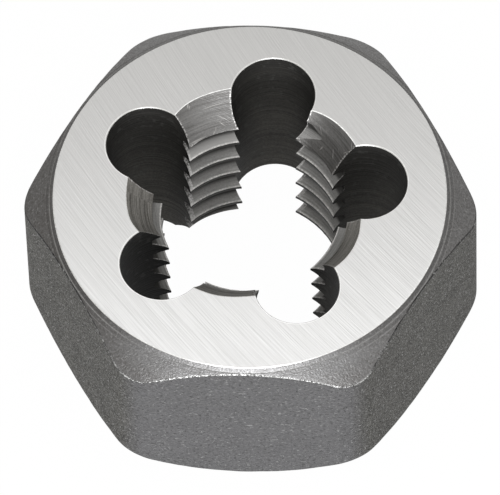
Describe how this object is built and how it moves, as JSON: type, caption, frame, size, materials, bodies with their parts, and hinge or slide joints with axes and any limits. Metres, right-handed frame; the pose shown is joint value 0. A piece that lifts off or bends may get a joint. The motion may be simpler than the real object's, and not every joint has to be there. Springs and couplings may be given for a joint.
{
  "type": "hex rethreading die",
  "caption": "Hexagonal steel die that a wrench turns on a damaged bolt to clean up its thread, with cutting lands between clearance holes.",
  "frame": {"origin": "centre of the lower ground face, where the axis of the thread leaves it", "axes": "+Z along the axis of the thread, towards the face that the picture shows; +X through a corner of the hexagon; +Y square to one of its flats, away from the camera"},
  "size_m": [0.041, 0.0366, 0.0191],
  "materials": {
    "tool_steel": "ground bright on the faces, turned on the chamfers, darker and grained on the flats"
  },
  "bodies": {
    "root": {"hex_die": "tool_steel"}
  },
  "joints": []
}
